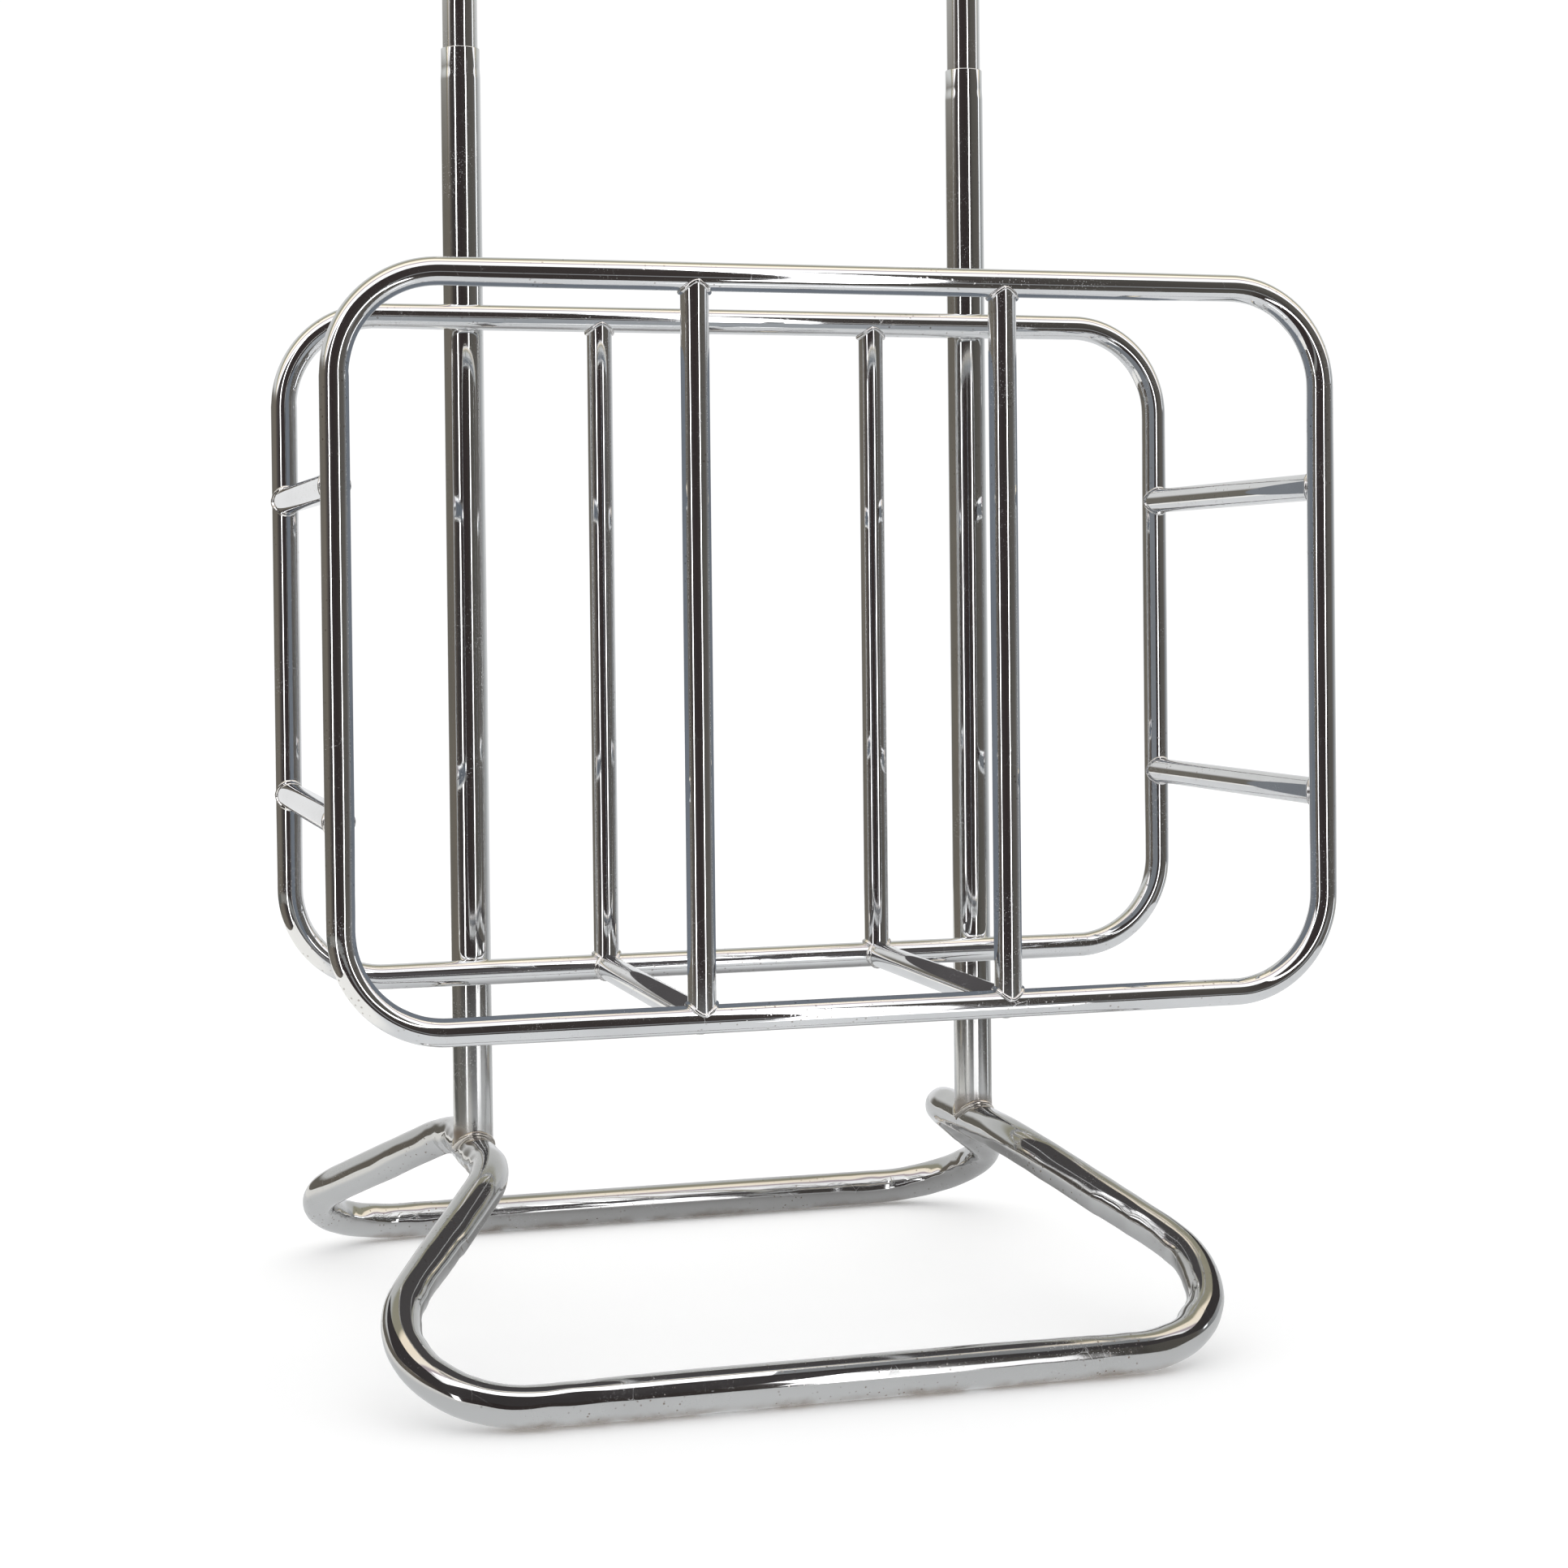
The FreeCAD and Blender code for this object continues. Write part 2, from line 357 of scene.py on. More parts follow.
def bent_tube(name, points, radii, radius, closed, wave, flat, seed):
    """A swept tube; wave is the depth of the ripples inside a bend, flat the loss of roundness."""
    rings = []
    for station in spread_bends(walk(points, radii, closed), BEND_REACH * radius * 2):
        up_side = station.along.cross(station.side)
        along = station.length / (2 * radius)
        crest = noise.noise(Vector((along * LONG_WAVE, seed, 0.0)))
        crest += 0.4 * noise.noise(Vector((along * SHORT_WAVE, seed, 5.0)))
        ring = []
        for i in range(RING):
            angle = 2 * math.pi * i / RING
            out = station.side * math.cos(angle) + up_side * math.sin(angle)
            lean = out.dot(station.inward)
            inner = max(0.0, lean + 0.25)
            r = radius * (1 - flat * station.bend * lean ** 2)
            side_wave = noise.noise(Vector((along * ROUND_WAVE, seed + 9.0, out.z * 1.5 + out.y)))
            r -= wave * station.bend * (inner ** 2 * max(0.0, 0.8 + crest) + 0.35 * (1 + side_wave))
            drift = noise.noise(Vector((out.x * 0.8, out.z * 0.8 + seed, station.length * 14)))
            r -= DRAW_MARK * (0.6 + drift)
            ring.append(station.point + out * r)
        rings.append(ring)
    return skin(name, rings, closed, capped=not closed)


print("a bend is felt for", BEND_REACH, "diameters of straight tube")

# %% [markdown]
# ## The floor frame
# Two equal bows make the floor frame.  Each starts under a post, bends down and outwards to
# the floor, runs across, and comes up again to the other post.

# %% Floor frame
FLOOR_WAVE = 0.85 * MM
FLOOR_FLAT = 0.025


def base_bow(name, way, seed):
    arch_y = POST_Y + way * ARCH_HALF
    rail_y = POST_Y + way * BASE_RAIL_REACH
    points = [
        Vector((POST_X["left"], POST_Y, ARCH_Z)),
        Vector((POST_X["left"], arch_y, ARCH_Z)),
        Vector((POST_MIDDLE - BASE_CORNER_X, rail_y, BASE_R)),
        Vector((POST_MIDDLE + BASE_CORNER_X, rail_y, BASE_R)),
        Vector((POST_X["right"], arch_y, ARCH_Z)),
        Vector((POST_X["right"], POST_Y, ARCH_Z)),
    ]
    radii = [0, ARCH_BEND, BASE_BEND, BASE_BEND, ARCH_BEND, 0]
    return bent_tube(name, points, radii, BASE_R, False, FLOOR_WAVE, FLOOR_FLAT, seed)


stands_for(base_bow("floor_bow_front", -1, 3.0), "stand", "base_chrome", "base_front_bow")
stands_for(base_bow("floor_bow_rear", 1, 8.0), "stand", "base_chrome", "base_rear_bow")
print("floor frame reaches", round(BASE_RAIL_REACH, 3), "m from the posts")

# %% [markdown]
# ## The two frames of the cage
# Each frame is one tube, bent to a rounded rectangle and closed on itself.

# %% Cage frames
CAGE_WAVE = 0.07 * MM
CAGE_FLAT = 0.02


def cage_frame(name, y, seed):
    points = [
        Vector((-SIDE_X, y, RAIL_Z["bottom"])),
        Vector((SIDE_X, y, RAIL_Z["bottom"])),
        Vector((SIDE_X, y, RAIL_Z["top"])),
        Vector((-SIDE_X, y, RAIL_Z["top"])),
    ]
    return bent_tube(name, points, [CAGE_BEND] * 4, CAGE_R, True, CAGE_WAVE, CAGE_FLAT, seed)


for where, y in FRAME_Y.items():
    loop = cage_frame("cage_loop_" + where, y, 20 + 10 * y)
    stands_for(loop, "stand", "frame_chrome", "cage_" + where + "_frame")
print("cage loops", round(2 * SIDE_X, 3), "m wide between centre lines")

# %% [markdown]
# ## Straight tube with shaped ends
# A bar that stands on another tube is cut to a saddle, so that it sits down all round.  The
# cut is simple to work out: a point of the bar at the distance y from the plane of the two
# centre lines meets the other tube at the height sqrt(R * R - y * y).  Where both tubes are
# equally thick that cut comes to a sharp point, which the welder rounds off.  One function
# makes posts, bars and the sliding tubes, because each is a profile that goes up the outside
# of the wall and comes down the inside.

# %% The saddle, and which way a tube points
SEAT_ROUND = 3.2 * MM


def saddle(reach, y, ease=0.0):
    """Height of the surface of a lying tube over its centre line, y to the side."""
    return math.sqrt(max(0.0, reach * reach - y * y) + ease * ease)


def axes(z_axis, x_axis):
    """A rotation that sends local Z and X to the given directions."""
    z = Vector(z_axis).normalized()
    x = Vector(x_axis).normalized()
    return Matrix((x, z.cross(x), z)).transposed()


ACROSS = Vector((1, 0, 0))
BACKWARD = Vector((0, 1, 0))
UPWARD = Vector((0, 0, 1))
print("a saddle on cage tube is", round(saddle(CAGE_R, 0, SEAT_ROUND) / MM, 2), "mm high in its middle")

# %% A tube turned from a profile
def turned_tube(name, origin, rotation, profile, crisp):
    """Turns (radius, height) pairs into a closed wall; a height may depend on y.

    The numbers in crisp pick the pairs where the wall has an edge.
    """
    rings = []
    for radius, height in profile:
        ring = []
        for i in range(RING):
            angle = 2 * math.pi * i / RING
            x = radius * math.cos(angle)
            y = radius * math.sin(angle)
            z = height(y) if callable(height) else height
            ring.append(origin + rotation @ Vector((x, y, z)))
        rings.append(ring)
    return skin(name, rings, closed=True, crisp=crisp)


def bar(name, start, end, carrier):
    """A cage bar between the centre lines of two lying tubes."""
    length = (end - start).length
    inner = CAGE_R - CAGE_WALL
    profile = [
        (CAGE_R, lambda y: saddle(CAGE_R, y, SEAT_ROUND)),
        (CAGE_R, 2 * CAGE_R),
        (CAGE_R, length / 2),
        (CAGE_R, length - 2 * CAGE_R),
        (CAGE_R, lambda y: length - saddle(CAGE_R, y, SEAT_ROUND)),
        (inner, lambda y: length - saddle(CAGE_R, y, SEAT_ROUND)),
        (inner, lambda y: saddle(CAGE_R, y, SEAT_ROUND)),
    ]
    return turned_tube(name, start, axes(end - start, carrier), profile, crisp=(0, 4, 5, 6))


print("wall of the cage tube", round(CAGE_WALL / MM, 1), "mm")

# %% Uprights, side bars and floor bars
def place_bar(node, start, end, carrier):
    piece = bar("bar_" + node, Vector(start), Vector(end), carrier)
    stands_for(piece, "stand", "bar_chrome", node)


for hand in HANDS:
    for where, y in FRAME_Y.items():
        node = where + "_upright_" + hand
        x = centre(node).x
        place_bar(node, (x, y, RAIL_Z["bottom"]), (x, y, RAIL_Z["top"]), ACROSS)
    for level in LEVELS:
        node = "side_bar_" + level + "_" + hand
        x = HANDS[hand] * SIDE_X
        z = centre(node).z
        place_bar(node, (x, FRAME_Y["front"], z), (x, FRAME_Y["rear"], z), UPWARD)
    node = "floor_bar_" + hand
    x = centre(node).x
    z = RAIL_Z["bottom"]
    place_bar(node, (x, FRAME_Y["front"], z), (x, FRAME_Y["rear"], z), ACROSS)
print("bars", sum(name.startswith("bar_") for name in made))

# %% [markdown]
# ## The posts and what slides in them
# The top of a post is drawn in to hold the thinner tube.  Drawing leaves a slow shoulder and a
# bright round lip, and the light lines that run down the tube sway as they cross it.

# %% Posts
NECK_LENGTH = 20 * MM
NECK_TAPER = 8 * MM
NECK_R = UPPER_R + 1.15 * MM
NECK_BORE = UPPER_R + 0.05 * MM
LIP = 0.5 * MM
SHOULDER_STEPS = 8
LIP_STEPS = 4


def shoulder(part):
    """Radius of the post on its way into the neck, from 0 at the bottom to 1 at the top."""
    ease = part * part * (3 - 2 * part)
    return POST_R + (NECK_R - POST_R) * ease


def post(hand):
    neck_z = POST_TOP - NECK_LENGTH
    profile = [
        (POST_R, lambda y: ARCH_Z + saddle(BASE_R, y)),
        (POST_R, ARCH_Z + 2 * BASE_R),
        (POST_R, (ARCH_Z + POST_TOP) / 2),
    ]
    for i in range(SHOULDER_STEPS + 1):
        profile.append((shoulder(i / SHOULDER_STEPS), neck_z + NECK_TAPER * i / SHOULDER_STEPS))
    for i in range(LIP_STEPS + 1):
        angle = math.pi / 2 * i / LIP_STEPS
        profile.append((NECK_R - LIP + LIP * math.cos(angle), POST_TOP - LIP + LIP * math.sin(angle)))
    bore = POST_R - POST_WALL
    profile += [
        (NECK_BORE, POST_TOP),
        (NECK_BORE, neck_z + NECK_TAPER),
        (bore, neck_z),
        (bore, lambda y: ARCH_Z + saddle(BASE_R, y)),
    ]
    origin = Vector((POST_X[hand], POST_Y, 0))
    rotation = axes(UPWARD, BACKWARD)
    return turned_tube("post_tube_" + hand, origin, rotation, profile, crisp=(0, -4, -3, -1))


print("necks are", round(NECK_LENGTH / MM), "mm long and", round(2 * NECK_R / MM, 1), "mm thick")

# %% Tubes that slide in the posts
TUBE_EDGE = 0.25 * MM


def sliding_tube(hand):
    low, high = low_high("upper_tube_" + hand)
    inner = UPPER_R - UPPER_WALL
    profile = [
        (UPPER_R - TUBE_EDGE, low.z),
        (UPPER_R, low.z + TUBE_EDGE),
        (UPPER_R, POST_TOP),
        (UPPER_R, high.z - TUBE_EDGE),
        (UPPER_R - TUBE_EDGE, high.z),
        (inner, high.z),
        (inner, low.z),
    ]
    origin = Vector((POST_X[hand], POST_Y, 0))
    rotation = axes(UPWARD, ACROSS)
    return turned_tube("sliding_tube_" + hand, origin, rotation, profile, crisp=(0, 1, 3, 4, 5, 6))


for hand in HANDS:
    stands_for(post(hand), "stand", "post_chrome", "post_" + hand)
    stands_for(sliding_tube(hand), "upper_" + hand, "upper_chrome", "upper_tube_" + hand)
print("posts end at", round(POST_TOP, 3), "m")

# %% [markdown]
# ## Welds
# A weld bead is a row of small puddles that froze one after the other, and the plating later
# covered it.  The bead follows the line where the two tubes meet, which is the same saddle
# as above.  A round section swept along that line, fatter and thinner from puddle to puddle,
# gives the lumpy ring.

# %% The lumpy ring
BEAD_STEPS = 180
BEAD_SECTION = 20
BAR_BEAD = 1.25 * MM
FOOT_BEAD = 1.7 * MM
PUDDLES = 20
PUDDLE = 0.03  # these five are parts of the size of a bead
LUMP = 0.24
KNOB = 0.06
CORE = 0.85
SIDE_SWELL = 0.45


def bead_rings(origin, rotation, bar_radius, carrier_radius, size, seed):
    """Rings of a lumpy bead round a bar that stands on a lying tube."""
    line = []
    for i in range(BEAD_STEPS):
        angle = 2 * math.pi * i / BEAD_STEPS
        y = bar_radius * math.sin(angle)
        line.append(Vector((bar_radius * math.cos(angle), y, saddle(carrier_radius, y, SEAT_ROUND))))
    rings = []
    for i, point in enumerate(line):
        angle = 2 * math.pi * i / BEAD_STEPS
        along = (line[(i + 1) % BEAD_STEPS] - line[i - 1]).normalized()
        outward = Vector((math.cos(angle), math.sin(angle), 0))
        outward = (outward - along * outward.dot(along)).normalized()
        rise = along.cross(outward)
        corner = math.cos(angle) ** 4
        puddle = PUDDLE * math.cos(angle * PUDDLES + seed)
        lump = LUMP * noise.noise(Vector((math.cos(angle) * 1.7, math.sin(angle) * 1.7, seed)))
        ring = []
        for k in range(BEAD_SECTION):
            turn = 2 * math.pi * k / BEAD_SECTION
            spot = Vector((math.cos(turn), math.sin(turn) + seed, 5 * math.sin(angle / 2)))
            knob = KNOB * noise.noise(spot)
            r = size * (CORE + SIDE_SWELL * corner + puddle + lump + knob)
            flat = outward * (math.cos(turn) * r) + rise * (math.sin(turn) * r)
            ring.append(origin + rotation @ (point + flat))
        rings.append(ring)
    return rings


print("points in a bead", BEAD_STEPS * BEAD_SECTION)

# %% Joining beads into one piece
def join(name, parts):
    """One object out of several, with their meshes kept as they are."""
    first = parts[0]
    if len(parts) > 1:
        sheet = bmesh.new()
        for part in parts:
            sheet.from_mesh(part.data)
        sheet.to_mesh(first.data)
        sheet.free()
        for part in parts[1:]:
            bpy.data.objects.remove(part)
    first.name = name
    return first


def bead(origin, away, carrier, seed, bar_radius=CAGE_R, carrier_radius=CAGE_R, size=BAR_BEAD):
    rings = bead_rings(origin, axes(away, carrier), bar_radius, carrier_radius, size, seed)
    return skin("bead", rings, closed=True)


def bead_name(node):
    return node.replace("weld_", "bead_")


print("the bead of weld_post_foot_left is named", bead_name("weld_post_foot_left"))

# %% Beads at the ends of the bars and at the feet of the posts
seed = 1.0
for hand in HANDS:
    for where, y in FRAME_Y.items():
        inward = BACKWARD if where == "front" else -BACKWARD
        x = centre(where + "_upright_" + hand).x
        for rail, z in RAIL_Z.items():
            joint = Vector((x, y, z))
            parts = [bead(joint, UPWARD if rail == "bottom" else -UPWARD, ACROSS, seed)]
            if rail == "bottom":
                parts.append(bead(joint, inward, ACROSS, seed + 0.5))
            node = "weld_" + where + "_" + rail + "_" + hand
            stands_for(join(bead_name(node), parts), "stand", "weld_bead", node)
            seed += 1
        for level in LEVELS:
            joint = Vector((HANDS[hand] * SIDE_X, y, centre("side_bar_" + level + "_" + hand).z))
            node = "weld_side_" + level + "_" + where + "_" + hand
            part = bead(joint, inward, UPWARD, seed)
            stands_for(join(bead_name(node), [part]), "stand", "weld_bead", node)
            seed += 1
    foot = Vector((POST_X[hand], POST_Y, ARCH_Z))
    part = bead(foot, UPWARD, BACKWARD, seed, POST_R, BASE_R, FOOT_BEAD)
    node = "weld_post_foot_" + hand
    stands_for(join(bead_name(node), [part]), "stand", "weld_bead", node)
    seed += 1
print("beads", sum(name.startswith("bead_") for name in made))

# %% [markdown]
# Where the rails of the rear frame cross the posts, the tubes only touch at one point, and a
# short bead above and below the rail fills the corner between them.

# %% Beads between the rear rails and the posts
CORNER_STEPS = 16
CORNER_HALF = 6 * MM
CORNER_BACK = 5.6 * MM
CORNER_OFF = 5.8 * MM
CORNER_BEAD = 1.9 * MM
CORNER_LUMP = 0.25


def corner_bead(name, x, z, seed):
    """Two short lumpy beads that lie in the corner between a rail and a post."""
    rail_y = FRAME_Y["rear"]
    parts = []
    for way in (-1, 1):
        rings = []
        for i in range(CORNER_STEPS + 1):
            part = i / CORNER_STEPS * 2 - 1
            taper = math.sqrt(max(0.02, 1 - part * part))
            spot = Vector((x + part * CORNER_HALF, rail_y + CORNER_BACK, z + way * CORNER_OFF))
            spot.y += (POST_R - math.sqrt(POST_R ** 2 - (part * CORNER_HALF) ** 2)) * 0.5
            ring = []
            for k in range(BEAD_SECTION):
                turn = 2 * math.pi * k / BEAD_SECTION
                lump = noise.noise(Vector((i * 0.4, k * 0.5, seed + way)))
                r = CORNER_BEAD * taper * (1 + CORNER_LUMP * lump)
                ring.append(spot + Vector((0, math.cos(turn) * r, math.sin(turn) * r)))
            rings.append(ring)
        parts.append(skin("bead", rings, closed=False, capped=True))
    return join(name, parts)


for hand in HANDS:
    for rail, z in RAIL_Z.items():
        node = "weld_post_" + rail + "_rail_" + hand
        stands_for(corner_bead(bead_name(node), POST_X[hand], z, seed), "stand", "weld_bead", node)
        seed += 1
print("pieces", len(made))

# %% [markdown]
# ## Writing shader maths as sums
# A material is a network of nodes, and a long sum makes a network that nobody can read.  The
# first class below wraps one output of a node, so that a plain Python sum adds the Math nodes
# by itself.  The second holds the network, and one of its methods makes every node.

# %% A wrapper for sockets
class Wire:
    """One output of a node, which can be added, multiplied and so on."""

    def __init__(self, bench, socket):
        self.bench = bench
        self.socket = socket

    def maths(self, operation, first, second):
        return self.bench.node("ShaderNodeMath", {"operation": operation}, {0: first, 1: second})

    def __add__(self, other):
        return self.maths("ADD", self, other)

    def __radd__(self, other):
        return self.maths("ADD", other, self)

    def __sub__(self, other):
        return self.maths("SUBTRACT", self, other)

    def __rsub__(self, other):
        return self.maths("SUBTRACT", other, self)

    def __mul__(self, other):
        return self.maths("MULTIPLY", self, other)

    def __rmul__(self, other):
        return self.maths("MULTIPLY", other, self)

    def __truediv__(self, other):
        return self.maths("DIVIDE", self, other)

    def __rtruediv__(self, other):
        return self.maths("DIVIDE", other, self)

    def above(self, edge, softness):
        """0 below the edge, 1 above it, with a soft step between."""
        settings = {"interpolation_type": "SMOOTHSTEP"}
        sockets = {"Value": self, "From Min": edge - softness, "From Max": edge + softness}
        return self.bench.node("ShaderNodeMapRange", settings, sockets)

    def near(self, place, width, softness):
        """1 within half a width of a place, 0 elsewhere."""
        distance = self.maths("ABSOLUTE", self - place, 0)
        return 1 - distance.above(width / 2, softness)


print("a wire also knows", [name for name in vars(Wire) if not name.startswith("__")])

# %% A bench that makes nodes
class Bench:
    """A node tree, with one method that makes every node."""

    def __init__(self, tree):
        self.tree = tree
        tree.nodes.clear()

    def node(self, kind, settings=None, sockets=None, output=0):
        made_node = self.tree.nodes.new(kind)
        for key, value in (settings or {}).items():
            if key == "stops":
                ramp = made_node.color_ramp
                while len(ramp.elements) < len(value):
                    ramp.elements.new(0.5)
                for element, (position, colour) in zip(ramp.elements, value):
                    element.position = position
                    element.color = (*colour, 1)
            else:
                setattr(made_node, key, value)
        for key, value in (sockets or {}).items():
            target = made_node.inputs[key]
            if isinstance(value, Wire):
                self.tree.links.new(value.socket, target)
            else:
                target.default_value = value
        return Wire(self, made_node.outputs[output] if made_node.outputs else None)

    def blend(self, amount, dark, light):
        """A colour between two colours."""
        settings = {"data_type": "RGBA"}
        colours = [(*c, 1) if isinstance(c, tuple) else c for c in (dark, light)]
        return self.node("ShaderNodeMix", settings, {0: amount, 6: colours[0], 7: colours[1]}, 2)

    def noise(self, where, scale, detail=2.0, rough=0.5):
        sockets = {"Vector": where, "Scale": scale, "Detail": detail, "Roughness": rough}
        return self.node("ShaderNodeTexNoise", None, sockets)


print("a bench knows", [name for name in vars(Bench) if not name.startswith("__")])

# %% [markdown]
# ## Chrome
# Chrome has next to no colour of its own.  What makes one tube look new and the next one used
# is how sharp its mirror is.  The finish starts as a clean mirror, and then gets what use
# adds: a haze of finger marks that opens up the roughness in patches, tiny pits where the
# plating let go, dust, scratches as thin as hairs, and a very slow ripple left by the
# polishing wheel.  Towards the bottom of the posts and of the floor frame the colour turns a
# darker brown in patches, and the foot of each post is duller than the rest of it.  The whole
# floor frame is painted darker than the other tubes, as painted shade.

# %% What use adds to the plating
PIT_BROWN = (0.20, 0.15, 0.11)
DUST_GREY = (0.62, 0.62, 0.64)
LOW_BROWN = (0.24, 0.18, 0.13)
SMEAR_SHADE = 0.86
DULL_SHADE = 0.72
DULL_FADE = 30 * MM
LOW_BROWN_FADE = 4 * MM
LOW_BROWN_UNEVEN = 10 * MM


def cells(bench, place, feature, scale):
    return bench.node("ShaderNodeTexVoronoi", {"feature": feature}, {"Vector": place, "Scale": scale})


def shaded(tint, share):
    return tuple(share * c for c in tint)


def wear(bench, place, pits):
    """How much of each kind of wear there is, from 0 to 1."""
    patches = bench.noise(place, 9.0, 3.0).above(0.52, 0.16)
    streaks = bench.noise(place, 140.0, 4.0, 0.7)
    smear = patches * (0.35 + 0.65 * streaks)
    crowd = bench.noise(place, 16.0, 2.0).above(0.62 - 0.12 * pits, 0.08)
    specks = (1 - cells(bench, place, "F1", 260.0).above(0.16, 0.05)) * crowd * pits
    dusty = bench.noise(place, 24.0, 3.0).above(0.59, 0.08)
    dust = (1 - cells(bench, place, "F1", 820.0).above(0.17, 0.07)) * dusty * 0.55
    used = bench.noise(place, 40.0, 2.0).above(0.60, 0.05)
    edges = cells(bench, place, "DISTANCE_TO_EDGE", 75.0)
    hairs = (1 - edges.above(0.009, 0.006)) * used * (0.5 + 0.5 * pits)
    return streaks, smear, specks, dust, hairs


print("a smear keeps", SMEAR_SHADE, "of the brightness, a dull foot", DULL_SHADE)

# %% The chrome finish
def chrome(name, tint, gloss, haze, pits, ripple, low_brown_z=None, dull_z=None):
    """A plated finish; gloss is the roughness of its best places, haze that of its worst."""
    material = bpy.data.materials.new(name)
    material.use_nodes = True
    bench = Bench(material.node_tree)
    place = bench.node("ShaderNodeTexCoord", output=3)
    height = bench.node("ShaderNodeSeparateXYZ", None, {0: place}, 2)
    streaks, smear, specks, dust, hairs = wear(bench, place, pits)

    colour = bench.blend(smear, tint, shaded(tint, SMEAR_SHADE))
    colour = bench.blend(specks, colour, PIT_BROWN)
    colour = bench.blend(dust, colour, DUST_GREY)
    rough = gloss + (haze - gloss) * smear
    rough = rough + 0.35 * specks + 0.22 * hairs + 0.5 * dust
    if dull_z is not None:
        dull_part = 1 - height.above(dull_z, DULL_FADE)
        colour = bench.blend(dull_part, colour, shaded(tint, DULL_SHADE))
        rough = rough + dull_part * (0.07 + 0.05 * streaks)
    # Below the given height the colour turns a darker brown in patches, and rougher.
    if low_brown_z is not None:
        edge = bench.noise(place, 70.0, 3.0) * LOW_BROWN_UNEVEN
        blotches = bench.noise(place, 35.0).above(0.45, 0.15)
        low_brown = (1 - (height + edge).above(low_brown_z, LOW_BROWN_FADE)) * blotches
        colour = bench.blend(low_brown * 0.85, colour, LOW_BROWN)
        rough = rough + 0.28 * low_brown

    slow = bench.noise(place, 26.0, 1.0)
    fine = bench.noise(place, 900.0, 2.0)
    relief = slow * ripple + fine * 0.0015 - 0.05 * specks
    bump = bench.node("ShaderNodeBump", None, {"Strength": 0.25, "Distance": 1 * MM, "Height": relief})
    sockets = {"Base Color": colour, "Metallic": 1 - 0.75 * dust, "Roughness": rough, "Normal": bump}
    surface = bench.node("ShaderNodeBsdfPrincipled", None, sockets)
    bench.node("ShaderNodeOutputMaterial", None, {"Surface": surface})
    return material


print("a stain fades out over", round(LOW_BROWN_FADE / MM), "mm")

# %% One finish for each kind of piece
STEEL = (0.88, 0.885, 0.89)
POST_LOW_BROWN = ARCH_Z + 22 * MM
POST_DULL = RAIL_Z["bottom"] - 20 * MM
FLOOR_LOW_BROWN = 9 * MM

finishes = {
    "frame_chrome": chrome("frame_chrome", STEEL, gloss=0.025, haze=0.09, pits=0.55, ripple=0.10),
    "bar_chrome": chrome("bar_chrome", STEEL, gloss=0.025, haze=0.08, pits=0.45, ripple=0.08),
    "post_chrome": chrome("post_chrome", (0.84, 0.845, 0.84), gloss=0.03, haze=0.11, pits=0.25, ripple=0.12,
                          low_brown_z=POST_LOW_BROWN, dull_z=POST_DULL),
    "upper_chrome": chrome("upper_chrome", (0.86, 0.86, 0.85), gloss=0.03, haze=0.10, pits=0.25,
                           ripple=0.10),
    # The floor frame's tint is painted darker than the other tubes: painted shade, for the shade it stands
    # in under the bag in the cage.
    "base_chrome": chrome("base_chrome", (0.66, 0.66, 0.655), gloss=0.05, haze=0.16, pits=0.80, ripple=0.25,
                          low_brown_z=FLOOR_LOW_BROWN),
    "weld_bead": chrome("weld_bead", (0.84, 0.83, 0.82), gloss=0.05, haze=0.13, pits=0.2, ripple=0.10),
    "foot_bead": chrome("foot_bead", (0.70, 0.66, 0.61), gloss=0.16, haze=0.34, pits=0.9, ripple=0.15),
}
for name, slot in made.items():
    mesh = bpy.data.objects[name].data
    mesh.materials.clear()
    mesh.materials.append(finishes["foot_bead" if "post_foot" in name else slot])
print("finishes", len(finishes))

# %% [markdown]
# ## The room that the chrome reflects
# A mirror needs something to show.  The part stands in a room with dark brown walls behind
# the camera, pale walls behind the part, and a bright ceiling.  One white line runs up the
# wall on the right and draws a thin light line on every upright tube.  None of it is seen by
# the camera or lights the floor: for those the world is plain white.
#
# A direction is read as two angles in degrees: turn goes round from the camera's side, with
# 90 on the right, and rise goes up from the horizon.

# %% Colours of the room
WALLS = [
    (-180, (0.85, 0.86, 0.88)),
    (-154, (0.80, 0.80, 0.80)),
    (-147, (0.16, 0.15, 0.13)),
    (-75, (0.17, 0.15, 0.125)),
    (-50, (0.060, 0.052, 0.050)),
    (-35, (0.045, 0.038, 0.038)),
    (0, (0.038, 0.030, 0.030)),
    (30, (0.045, 0.038, 0.036)),
    (50, (0.10, 0.095, 0.085)),
    (84, (0.12, 0.11, 0.10)),
    (104, (0.22, 0.23, 0.24)),
    (125, (0.45, 0.46, 0.47)),
    (150, (0.72, 0.73, 0.74)),
    (180, (0.85, 0.86, 0.88)),
]
LOW_WALLS = [
    (-180, (0.70, 0.70, 0.68)),
    (-140, (0.13, 0.13, 0.12)),
    (-95, (0.12, 0.12, 0.11)),
    (-84, (0.24, 0.23, 0.21)),
    (-48, (0.23, 0.225, 0.21)),
    (0, (0.22, 0.225, 0.22)),
    (22, (0.24, 0.245, 0.25)),
    (52, (0.30, 0.31, 0.32)),
    (60, (0.15, 0.145, 0.14)),
    (90, (0.13, 0.12, 0.115)),
    (104, (0.28, 0.28, 0.27)),
    (180, (0.70, 0.70, 0.68)),
]
CEILING = [
    (0, (1.3, 1.3, 1.32)),
    (69, (1.3, 1.3, 1.32)),
    (74, (0.56, 0.48, 0.52)),
    (79, (0.56, 0.48, 0.52)),
    (84, (1.3, 1.2, 1.05)),
    (101, (1.25, 1.10, 0.88)),
    (107, (0.38, 0.36, 0.27)),
    (126, (0.38, 0.37, 0.29)),
    (136, (0.62, 0.63, 0.62)),
    (180, (0.75, 0.75, 0.75)),
]
